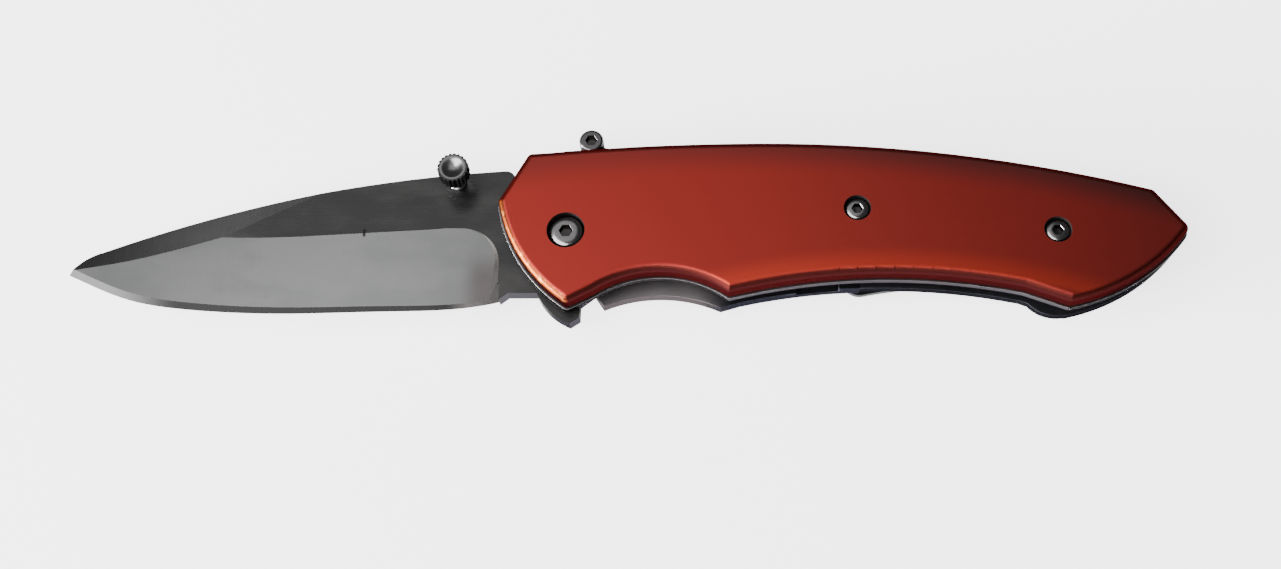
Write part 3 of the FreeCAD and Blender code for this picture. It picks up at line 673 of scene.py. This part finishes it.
# The knurl teeth are a darker copy of the stud's steel: painted shade.
KNURL_SHADED_STEEL = SteelFinish("knurled_rim_steel", (0.12, 0.12, 0.12), (0.06, 0.06, 0.06), 0.30, even(0.3))
KNOB_STEEL = SteelFinish("dark_knob_steel", (0.21, 0.201, 0.207), (0.12, 0.115, 0.119), 0.22, even(0.4),
                         socket=SOCKET_SHADE)
PIN_STEEL = SteelFinish("ground_pin_steel", (0.62, 0.62, 0.64), (0.5, 0.5, 0.52), 0.22, Vector((0.4, 0.4, 3)))
SLIDE_STEEL = SteelFinish("dark_slide_steel", (0.11, 0.11, 0.116), (0.06, 0.06, 0.066), 0.34)
BRONZE = SteelFinish("bronze_washer", (0.58, 0.36, 0.17), (0.40, 0.24, 0.11), 0.36)
SPACER_BLACK = BlackFinish("moulded_spacer_black")
CLIP_BLACK = BlackFinish("coated_clip_black", roughness=0.34, metallic=0.4)


def piece_from(mesh: Mesh, name: str) -> Object:
    """Links a mesh into the scene as an object at the origin.

    Args:
        mesh: the mesh.
        name: name of the object.

    Returns:
        The object.
    """
    made = bpy.data.objects.new(name, mesh)
    bpy.context.scene.collection.objects.link(made)
    return made


def settle(piece: Object, body: Body, nodes: Sequence[str]) -> None:
    """Rides a finished piece on its body in the place of its nodes.

    Args:
        piece: the piece.
        body: body that carries it.
        nodes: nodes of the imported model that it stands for.
    """
    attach(piece, body.value)
    if nodes:
        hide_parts(*nodes)
    LOG.info("%s rides on %s for %s", piece.name, body.value, ", ".join(nodes) or "no node")


def dress(material: Material, *nodes: str) -> None:
    """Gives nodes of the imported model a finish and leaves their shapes.

    Args:
        material: the finish.
        nodes: names of the nodes.
    """
    for node in nodes:
        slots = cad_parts[node].data.materials
        slots.clear()
        slots.append(material)
        LOG.info("%s is dressed in %s", node, material.name)


def baked(piece: Object) -> None:
    """Turns a piece's modifiers into plain mesh and removes them.

    Args:
        piece: the piece.
    """
    bpy.context.view_layer.update()
    graph = bpy.context.evaluated_depsgraph_get()
    mesh = bpy.data.meshes.new_from_object(piece.evaluated_get(graph), depsgraph=graph)
    piece.modifiers.clear()
    piece.data = mesh
    mesh.name = piece.name


def softened(node: str, name: str, material: Material, width: float = CORNER,
             crease: float = CREASE) -> Object:
    """Copy of a node with its corners broken.

    Args:
        node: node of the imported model.
        name: name of the new piece.
        material: its finish.
        width: width of the broken corner in millimetres, or 0 for none.
        crease: angle in degrees past which an edge stays sharp.

    Returns:
        The piece.
    """
    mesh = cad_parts[node].data.copy()
    work = bmesh.new()
    work.from_mesh(mesh)
    bmesh.ops.remove_doubles(work, verts=work.verts, dist=WELD * MM)
    bmesh.ops.dissolve_limit(work, angle_limit=math.radians(FLAT_BEND), verts=work.verts, edges=work.edges)
    work.to_mesh(mesh)
    work.free()
    mesh.materials.clear()
    mesh.materials.append(material)
    mesh.shade_smooth()
    mesh.set_sharp_from_angle(angle=math.radians(crease))
    piece = piece_from(mesh, name)
    if width > 0:
        bevel = piece.modifiers.new("broken_corner", "BEVEL")
        bevel.width = width * MM
        bevel.segments = 2
        bevel.limit_method = "ANGLE"
        bevel.angle_limit = math.radians(crease)
    weighted = piece.modifiers.new("flat_faces_stay_flat", "WEIGHTED_NORMAL")
    weighted.keep_sharp = True
    baked(piece)
    return piece


def roll_normals(piece: Object, radius: float, crease: float) -> None:
    """Sets the exact normals of a rolled upper edge, so that the roll turns evenly and flat faces stay flat.

    Args:
        piece: piece with the rolled edge.
        radius: radius of the roll in millimetres.
        crease: angle in degrees past which a corner of the outline stays sharp.
    """
    mesh = piece.data
    top = max(vertex.co.z for vertex in mesh.vertices)
    outward: dict[int, list[tuple[Vector, float]]] = {}
    for face in mesh.polygons:
        if abs(face.normal.z) < LEVEL_FACE:
            flat = Vector((face.normal.x, face.normal.y, 0)).normalized()
            for index in face.vertices:
                outward.setdefault(index, []).append((flat, face.area))
    normals = [Vector(corner.vector) for corner in mesh.corner_normals]
    limit = math.cos(math.radians(crease))
    for face in mesh.polygons:
        own = Vector((face.normal.x, face.normal.y, 0)).normalized()
        for loop in face.loop_indices:
            vertex = mesh.vertices[mesh.loops[loop].vertex_index]
            if abs(face.normal.z) >= LEVEL_FACE:
                normals[loop] = face.normal.copy()
            elif face.normal.z > ROLL_FACE:
                near = [flat * area for flat, area in outward[vertex.index] if flat.dot(own) > limit]
                rise = min(max((vertex.co.z - top) / (radius * MM) + 1, 0), 1)
                side = sum(near, Vector()).normalized()
                normals[loop] = side * math.sqrt(1 - rise * rise) + Vector((0, 0, rise))
    mesh.normals_split_custom_set(normals)


def lathe(rings: Sequence[tuple[Radius, float]], sides: int) -> Mesh:
    """Closed form round Z from rings that start and end on the axis.

    Args:
        rings: radius, fixed or by angle, and level of each ring in millimetres, first and last a point.
        sides: points of each ring.

    Returns:
        The mesh.
    """
    work = bmesh.new()
    turns = [2 * math.pi * step / sides for step in range(sides)]
    loops = []
    for radius, level in rings[1:-1]:
        sizes = [radius(turn) if callable(radius) else radius for turn in turns]
        loops.append([work.verts.new((size * math.cos(turn) * MM, size * math.sin(turn) * MM, level * MM))
                      for size, turn in zip(sizes, turns)])
    ends = [work.verts.new((0, 0, level * MM)) for level in (rings[0][1], rings[-1][1])]
    for step in range(sides):
        after = (step + 1) % sides
        work.faces.new((ends[0], loops[0][after], loops[0][step]))
        work.faces.new((ends[1], loops[-1][step], loops[-1][after]))
        for low, high in zip(loops, loops[1:]):
            work.faces.new((low[step], low[after], high[after], high[step]))
    bmesh.ops.recalc_face_normals(work, faces=work.faces)
    mesh = bpy.data.meshes.new("turned")
    work.to_mesh(mesh)
    work.free()
    mesh.shade_smooth()
    mesh.set_sharp_from_angle(angle=math.radians(TURNED_CREASE))
    return mesh


class GeometryTree(NodeKit):
    """A Geometry Nodes tree with named inputs that ends in Realize Instances and Set Material."""

    def __init__(self, name: str, inputs: dict[str, str]) -> None:
        """Makes the tree.

        Args:
            name: name of the tree.
            inputs: name and socket type of each input.
        """
        super().__init__(bpy.data.node_groups.new(name, "GeometryNodeTree"))
        face = self.tree.interface
        face.new_socket("Geometry", in_out="OUTPUT", socket_type="NodeSocketGeometry")
        self.sockets = {}
        for key, kind in inputs.items():
            self.sockets[key] = face.new_socket(key, in_out="INPUT", socket_type=kind)
        self.entry = self.node("NodeGroupInput", {}, {})

    def given(self, name: str) -> NodeSocket:
        """Named input of the tree."""
        return self.entry.outputs[name]

    def close(self, copies: NodeSocket) -> None:
        """Realizes the copies, gives them their finish and ends the tree.

        Args:
            copies: the copies.
        """
        real = self.node("GeometryNodeRealizeInstances", {}, {"Geometry": copies})
        dressed = self.node("GeometryNodeSetMaterial", {}, {
            "Geometry": real.outputs[0], "Material": self.given("Finish")})
        self.node("NodeGroupOutput", {}, {0: dressed.outputs[0]})

    def grow(self, name: str, shape: Mesh, places: Sequence[Vector], values: dict[str, Any]) -> Object:
        """Runs the tree on loose points and keeps the plain result.

        Args:
            name: name of the piece.
            shape: mesh that the tree copies.
            places: points that the tree starts from.
            values: value of each other input.

        Returns:
            The piece.
        """
        points = bpy.data.meshes.new("places")
        points.from_pydata([tuple(place) for place in places], [], [])
        piece = piece_from(points, name)
        pattern = bpy.data.objects.new(name + "_shape", shape)
        grown = piece.modifiers.new("grown", "NODES")
        grown.node_group = self.tree
        for key, value in {**values, "Shape": pattern}.items():
            grown[self.sockets[key].identifier] = value
        baked(piece)
        bpy.data.objects.remove(pattern)
        return piece


def copies_tree() -> GeometryTree:
    """Makes the tree that sets one shape on every point.

    Returns:
        The tree.
    """
    tree = GeometryTree("screws_on_points", {
        "Geometry": "NodeSocketGeometry", "Shape": "NodeSocketObject", "Finish": "NodeSocketMaterial"})
    shape = tree.node("GeometryNodeObjectInfo", {}, {"Object": tree.given("Shape")})
    points = tree.node("GeometryNodeInstanceOnPoints", {}, {
        "Points": tree.given("Geometry"), "Instance": shape.outputs["Geometry"]})
    tree.close(points.outputs[0])
    return tree


def ring_tree() -> GeometryTree:
    """Makes the tree that sets one tooth round a circle, each facing out.

    Returns:
        The tree.
    """
    tree = GeometryTree("teeth_round_circle", {
        "Geometry": "NodeSocketGeometry", "Teeth": "NodeSocketInt", "Radius": "NodeSocketFloat",
        "Place": "NodeSocketVector", "Shape": "NodeSocketObject", "Finish": "NodeSocketMaterial"})
    circle = tree.node("GeometryNodeMeshCircle", {}, {
        "Vertices": tree.given("Teeth"), "Radius": tree.given("Radius")})
    place = tree.node("GeometryNodeInputPosition", {}, {})
    out = tree.node("FunctionNodeAlignRotationToVector", {"axis": "X"}, {"Vector": place.outputs[0]})
    tooth = tree.node("GeometryNodeObjectInfo", {}, {"Object": tree.given("Shape")})
    copies = tree.node("GeometryNodeInstanceOnPoints", {}, {
        "Points": circle.outputs[0], "Instance": tooth.outputs["Geometry"], "Rotation": out.outputs[0]})
    moved = tree.node("GeometryNodeTransform", {}, {
        "Geometry": copies.outputs[0], "Translation": tree.given("Place")})
    tree.close(moved.outputs[0])
    return tree


@dataclass(frozen=True)
class SocketScrew:
    """Domed socket screw, measured from the seat of its head."""

    head_radius: float
    head_height: float
    shank_radius: float
    shank_length: float
    crown_share: float = 0.52
    straight_share: float = 0.58
    socket_share: float = 0.40
    socket_depth_share: float = 0.62
    break_width: float = 0.06
    crown_steps: int = 7
    sides: int = 60

    def hexagon(self, size: float) -> Callable[[float], float]:
        """Radius of a hexagon by angle, from its corner radius."""
        sixth = math.pi / 3
        return lambda turn: size * math.cos(sixth / 2) / math.cos(turn % sixth - sixth / 2)

    def mesh(self) -> Mesh:
        """Makes the screw, seat at level zero and head upwards, with its socket marked.

        Returns:
            The mesh.
        """
        rim = self.head_height * self.straight_share
        crown = self.head_radius * self.crown_share
        rings: list[tuple[Radius, float]] = [
            (0, -self.shank_length), (self.shank_radius, -self.shank_length), (self.shank_radius, 0),
            (self.head_radius - self.break_width, 0), (self.head_radius, self.break_width)]
        for step in range(self.crown_steps + 1):
            turn = math.pi / 2 * step / self.crown_steps
            rings.append((crown + (self.head_radius - crown) * math.cos(turn),
                          rim + (self.head_height - rim) * math.sin(turn)))
        corner = self.head_radius * self.socket_share
        floor = self.head_height * (1 - self.socket_depth_share)
        rings += [(self.hexagon(corner + self.break_width), self.head_height),
                  (self.hexagon(corner), self.head_height - self.break_width),
                  (self.hexagon(corner), floor), (corner / 2, floor), (0, floor - self.break_width)]
        turned = lathe(rings, self.sides)
        # Marks the socket, which takes painted shade.
        mark = turned.attributes.new(SOCKET_MARK, "FLOAT", "POINT")
        reach = (corner + self.break_width / 2) * MM
        brim = (self.head_height - self.break_width / 2) * MM
        for vertex, value in zip(turned.vertices, mark.data):
            value.value = float(vertex.co.xy.length < reach and 0 < vertex.co.z < brim)
        return turned


@dataclass(frozen=True)
class FlatScrew(SocketScrew):
    """Low round screw with a chamfered rim."""

    crown_share: float = 0.86
    straight_share: float = 0.5


@dataclass
class Handle:
    """Fixed body: scale, liner, lock plate, spacer, clip and their screws."""

    pivot_screw: SocketScrew = SocketScrew(2.78, 1.5, 1.5, 3.6)
    scale_screw: SocketScrew = SocketScrew(1.95, 1.25, 1.0, 2.4, socket_share=0.46)
    clip_screw: FlatScrew = FlatScrew(1.6, 0.7, 0.8, 3.9)
    pivot_well: float = 3.1
    scale_well: float = 2.2
    scale_roll: float = 1.3

    def wells(self) -> list[Well]:
        """Recesses of the three screws in the scale."""
        return [Well(middle("pivot_screw"), self.pivot_well),
                Well(middle("scale_screw_front"), self.scale_well),
                Well(middle("scale_screw_rear"), self.scale_well)]

    def build(self) -> None:
        """Builds and dresses the fixed pieces."""
        scale = softened("front_scale", "red_scale", AnodisedScaleWithPaintedLight().material(self.wells()), 0.0)
        roll_normals(scale, self.scale_roll, CREASE)
        settle(scale, Body.HANDLE, ["front_scale"])
        for node, name, finish, slot in (
                ("front_liner", "liner_sheet", LINER_STEEL, Slot.LINER),
                ("frame_plate", "lock_plate", PLATE_STEEL, Slot.PLATE),
                ("spine_spacer", "spine_spacer_block", SPACER_BLACK, Slot.SPACER),
                ("pocket_clip", "pocket_clip_spring", CLIP_BLACK, Slot.CLIP)):
            piece = softened(node, name, finish.material())
            settle(piece, Body.HANDLE, [node])
        self.screws()
        dress(PIN_STEEL.material(), "stop_pin", "guide_pin_front", "guide_pin_rear")
        dress(BRONZE.material(), "washer_back", "washer_front")

    def screws(self) -> None:
        """Sets the socket screws in their seats, those of the clip facing the far side."""
        steel = SCREW_STEEL.material()
        tree = copies_tree()
        for name, screw, nodes, far in (
                ("pivot_screw_head", self.pivot_screw, ["pivot_screw"], False),
                ("scale_screw_heads", self.scale_screw, ["scale_screw_front", "scale_screw_rear"], False),
                ("clip_screw_heads", self.clip_screw, ["clip_screw_front", "clip_screw_rear"], True)):
            mesh = screw.mesh()
            if far:
                mesh.transform(Matrix.Rotation(math.pi, 4, "X"))
            seats = []
            for node in nodes:
                low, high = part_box(node)
                level = low.z + screw.head_height * MM if far else high.z - screw.head_height * MM
                seats.append(Vector((middle(node).x, middle(node).y, level)))
            heads = tree.grow(name, mesh, seats, {"Finish": steel})
            settle(heads, Body.HANDLE, nodes)
        dress(steel, "pivot_barrel", "liner_screw_front", "liner_screw_rear", "spacer_screw")


@dataclass(frozen=True)
class KnurledStud:
    """Thumb stud: turned core and a ring of knurl teeth."""

    head_radius: float = 2.6
    head_start: float = 3.2
    foot_radius: float = 1.5
    foot_height: float = 0.5
    waist_radius: float = 1.25
    shank_radius: float = 0.8
    dish_radius: float = 1.85
    dish_depth: float = 0.50
    dish_steps: int = 6
    sides: int = 72
    teeth: int = 21
    tooth_height: float = 0.28
    # Shares of a tooth's height: broken edges, root sunk in the core, sloped ends, shoulders and rim.
    break_share: float = 1 / 3
    sunk_share: float = 0.5
    slope_share: float = 0.5
    shoulder_share: float = 0.8
    rim_share: float = 0.9
    # Share of a tooth's half width between its shoulders.
    crest_share: float = 0.35

    def core(self, low: float, foot: float, top: float) -> Mesh:
        """Turned core on the axis.

        Args:
            low: level of the riveted end.
            foot: level of the blade's face.
            top: level of the rim.

        Returns:
            The mesh.
        """
        root = self.head_radius - self.tooth_height
        head = foot + self.head_start
        collar = foot + self.foot_height
        soft = self.tooth_height * self.break_share
        rings: list[tuple[Radius, float]] = [
            (0, low), (self.shank_radius, low), (self.shank_radius, foot),
            (self.foot_radius - soft, foot), (self.foot_radius, foot + soft),
            (self.foot_radius, collar - soft), (self.foot_radius - soft, collar),
            (self.waist_radius, collar + soft), (self.waist_radius, head - self.tooth_height),
            (root - soft, head - soft), (root, head), (root, top - soft), (root - soft, top),
            (self.dish_radius + soft, top)]
        for step in range(self.dish_steps):
            share = step / self.dish_steps
            depth = self.dish_depth * math.sin(share * math.pi / 2)
            rings.append((self.dish_radius * (1 - share), top - depth))
        rings.append((0, top - self.dish_depth))
        return lathe(rings, self.sides)

    def tooth(self, head: float, top: float) -> Mesh:
        """One tooth on the X axis: a ridge with sloped ends.

        Args:
            head: level where the head starts.
            top: level of the rim.

        Returns:
            The mesh.
        """
        crest = self.tooth_height
        half = math.pi * (self.head_radius - crest) / self.teeth
        shoulder = (crest * self.shoulder_share, half * self.crest_share)
        inner = -crest * self.sunk_share
        slope = crest * self.slope_share
        outline = [(inner, -half), (0, -half), (shoulder[0], -shoulder[1]), (crest, 0), shoulder, (0, half),
                   (inner, half)]
        work = bmesh.new()
        loops = []
        for level, share in ((head, 0), (head + slope, 1), (top - slope, 1), (top, self.rim_share)):
            loops.append([work.verts.new((min(x, x * share) * MM, y * MM, level * MM)) for x, y in outline])
        count = len(outline)
        for low, high in zip(loops, loops[1:]):
            for step in range(count):
                after = (step + 1) % count
                work.faces.new((low[step], low[after], high[after], high[step]))
        work.faces.new(loops[0])
        work.faces.new(loops[-1])
        bmesh.ops.remove_doubles(work, verts=work.verts, dist=WELD * MM)
        bmesh.ops.recalc_face_normals(work, faces=work.faces)
        mesh = bpy.data.meshes.new("tooth")
        work.to_mesh(mesh)
        work.free()
        return mesh

    def build(self) -> None:
        """Builds the stud on the blade."""
        low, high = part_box("thumb_stud")
        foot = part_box("blade")[1].z / MM
        top = high.z / MM
        centre = middle("thumb_stud")
        mesh = self.core(low.z / MM, foot, top)
        mesh.transform(Matrix.Translation((centre.x, centre.y, 0)))
        mesh.materials.append(STUD_STEEL.material())
        settle(piece_from(mesh, "thumb_stud_core"), Body.BLADE, ["thumb_stud"])
        knurl = ring_tree().grow("thumb_stud_knurl", self.tooth(foot + self.head_start, top), [], {
            "Teeth": self.teeth, "Radius": (self.head_radius - self.tooth_height) * MM,
            "Place": (centre.x, centre.y, 0.0), "Finish": KNURL_SHADED_STEEL.material()})
        settle(knurl, Body.BLADE, [])


@dataclass
class Blade:
    """Ground blade with its stud."""

    crease: float = 1.6
    nick_from_pivot: Vector = starts_at(-34.2, 1.4, 0)
    stud: KnurledStud = KnurledStud()

    def build(self) -> None:
        """Builds and dresses the blade."""
        nick = middle("pivot_barrel") + self.nick_from_pivot * MM
        blade = softened("blade", "ground_blade", BladeWithPaintedReflections().material(nick), 0.0, self.crease)
        settle(blade, Body.BLADE, ["blade"])
        self.stud.build()


@dataclass
class LockLeaf:
    """Sprung leaf with its ball."""

    corner: float = 0.12

    def build(self) -> None:
        """Builds and dresses the leaf."""
        leaf = softened("lock_bar", "lock_leaf_bar", LEAF_STEEL.material(), self.corner)
        settle(leaf, Body.LOCK, ["lock_bar"])
        dress(PIN_STEEL.material(), "detent_ball")


@dataclass
class SafetySlide:
    """Slide on the spine with its socket knob and nut."""

    knob: SocketScrew = SocketScrew(2.05, 1.48, 0.9, 3.2, crown_share=0.76, straight_share=0.72,
                                    socket_share=0.48)

    def build(self) -> None:
        """Builds and dresses the slide."""
        slide = softened("safety_slide", "safety_slide_bar", SLIDE_STEEL.material())
        settle(slide, Body.SAFETY, ["safety_slide"])
        steel = KNOB_STEEL.material()
        centre = middle("safety_knob")
        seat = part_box("safety_knob")[1].z - self.knob.head_height * MM
        mesh = self.knob.mesh()
        mesh.transform(Matrix.Translation((centre.x, centre.y, seat)))
        mesh.materials.append(steel)
        settle(piece_from(mesh, "safety_knob_head"), Body.SAFETY, ["safety_knob"])
        nut = softened("safety_nut", "safety_nut_ring", steel)
        settle(nut, Body.SAFETY, ["safety_nut"])


@dataclass(frozen=True)
class SoftBox:
    """Rectangular studio light, in metres and watts."""

    name: str
    place: Vector
    size: tuple[float, float]
    power: float
    target: Vector = starts_at(0, 0, 0)

    def build(self) -> None:
        """Hangs the light."""
        data = bpy.data.lights.new(self.name, "AREA")
        data.shape = "RECTANGLE"
        data.size, data.size_y = self.size
        data.energy = self.power
        lamp = bpy.data.objects.new(self.name, data)
        lamp.location = self.place
        lamp.rotation_euler = (self.target - self.place).to_track_quat("-Z", "Y").to_euler()
        bpy.context.scene.collection.objects.link(lamp)


LEFT_LOW = SoftBox("left_low", Vector((-1.2, -0.35, 0.25)), (0.8, 0.4), 75.0)
FRONT_LEFT = SoftBox("front_left", Vector((-0.55, -0.40, 1.0)), (1.3, 0.8), 26.0)
OVERHEAD = SoftBox("overhead", Vector((-0.33, 0.28, 0.75)), (0.94, 0.55), 1.15, Vector((-0.33, 0.28, 0)))


@dataclass
class Studio:
    """Pale floor, soft lights and the camera at the photograph's angle."""

    floor_half: float = 3.0
    floor_colour: Colour = (0.9, 0.9, 0.9)
    floor_shade: float = 0.99
    floor_cloud: float = 300.0
    floor_roughness: float = 0.9
    floor_glow: float = 2.6
    world_colour: Colour = (0.07, 0.07, 0.074)
    # The camera's lens in pixels of the photograph, its place from the scale's face above the pivot, and
    # its turns about X, Y and Z from looking straight down.
    photo_width: float = 1281.0
    focal_pixels: float = 1600.0
    sensor: float = 36.0
    clip: tuple[float, float] = (10.0, 20000.0)
    camera_from_pivot: Vector = starts_at(28.02, -105.58, 236.82)
    camera_turns: tuple[float, float, float] = (22.094, 3.231, 1.311)

    def build(self) -> None:
        """Builds the stage."""
        self.floor()
        for light in (LEFT_LOW, FRONT_LEFT, OVERHEAD):
            light.build()
        self.world()
        self.camera()

    def floor(self) -> None:
        """Lays the floor under the lowest point of the knife."""
        paint = Paint("pale_floor", 0.0, self.floor_roughness)
        cloud = paint.noise(even(self.floor_cloud))
        shaded = tuple(self.floor_shade * part for part in self.floor_colour)
        paint.link_surface(paint.layers(self.floor_colour, (cloud, shaded)))
        paint.shader.inputs["Emission Color"].default_value = (1, 1, 1, 1)
        paint.shader.inputs["Emission Strength"].default_value = self.floor_glow
        half = self.floor_half
        corners = [(-half, -half, 0), (half, -half, 0), (half, half, 0), (-half, half, 0)]
        mesh = bpy.data.meshes.new("floor")
        mesh.from_pydata(corners, [], [(0, 1, 2, 3)])
        mesh.materials.append(paint.material)
        piece_from(mesh, "floor")

    def world(self) -> None:
        """Sets an even grey world."""
        world = bpy.data.worlds.new("studio")
        world.use_nodes = True
        world.node_tree.nodes["Background"].inputs["Color"].default_value = (*self.world_colour, 1.0)
        bpy.context.scene.world = world

    def camera(self) -> None:
        """Sets the camera where the photograph was taken."""
        data = bpy.data.cameras.new("camera")
        data.sensor_fit = "HORIZONTAL"
        data.sensor_width = self.sensor
        data.lens = self.focal_pixels / self.photo_width * self.sensor
        data.clip_start, data.clip_end = (reach * MM for reach in self.clip)
        data.dof.use_dof = False
        pivot = middle("pivot_barrel")
        face = Vector((pivot.x, pivot.y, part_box("front_scale")[1].z))
        place = Matrix.Translation(face + self.camera_from_pivot * MM)
        turns = Euler([math.radians(turn) for turn in self.camera_turns])
        camera = bpy.data.objects.new("camera", data)
        camera.matrix_world = place @ turns.to_matrix().to_4x4()
        bpy.context.scene.collection.objects.link(camera)
        bpy.context.scene.camera = camera


def main() -> None:
    """Builds the knife and its stage."""
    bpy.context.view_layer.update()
    Studio().build()
    for part in (Handle(), Blade(), LockLeaf(), SafetySlide()):
        LOG.info("building %s", type(part).__name__)
        part.build()


if __name__ == "__main__":
    main()
